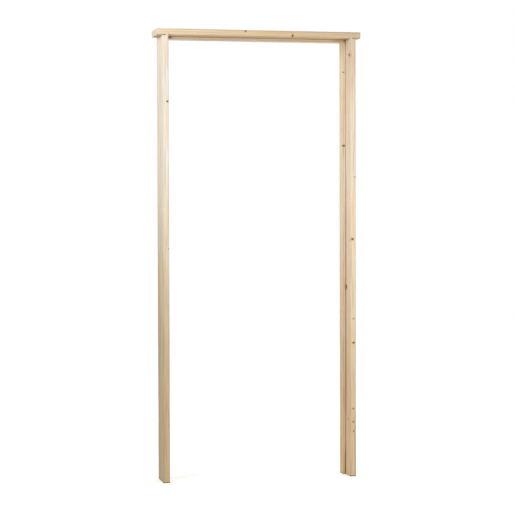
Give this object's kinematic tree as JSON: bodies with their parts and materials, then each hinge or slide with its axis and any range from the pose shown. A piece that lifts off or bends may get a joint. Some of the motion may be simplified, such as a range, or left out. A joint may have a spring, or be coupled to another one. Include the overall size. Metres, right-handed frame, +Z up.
{
  "type": "door lining kit",
  "caption": "Softwood door lining: grooved head on jambs with bare-faced tongues, short horns, loose stops round the inside and countersunk head screws.",
  "frame": {"origin": "on the floor, midway between the jambs and midway through the depth of the lining", "axes": "+Z up, +X along the head to the right as seen from the front, +Y from the front to the back"},
  "size_m": [0.946, 0.15, 2.048],
  "materials": {
    "lining_wood": "planed, unfinished",
    "stop_wood": "planed, unfinished",
    "screw_steel": "yellow zinc plated"
  },
  "bodies": {
    "root": {"head": "lining_wood", "left_jamb": "lining_wood", "right_jamb": "lining_wood", "head_stop": "stop_wood", "left_stop": "stop_wood", "right_stop": "stop_wood", "left_head_screw_1": "screw_steel", "left_head_screw_2": "screw_steel", "left_head_screw_3": "screw_steel", "right_head_screw_1": "screw_steel", "right_head_screw_2": "screw_steel", "right_head_screw_3": "screw_steel"}
  },
  "joints": []
}
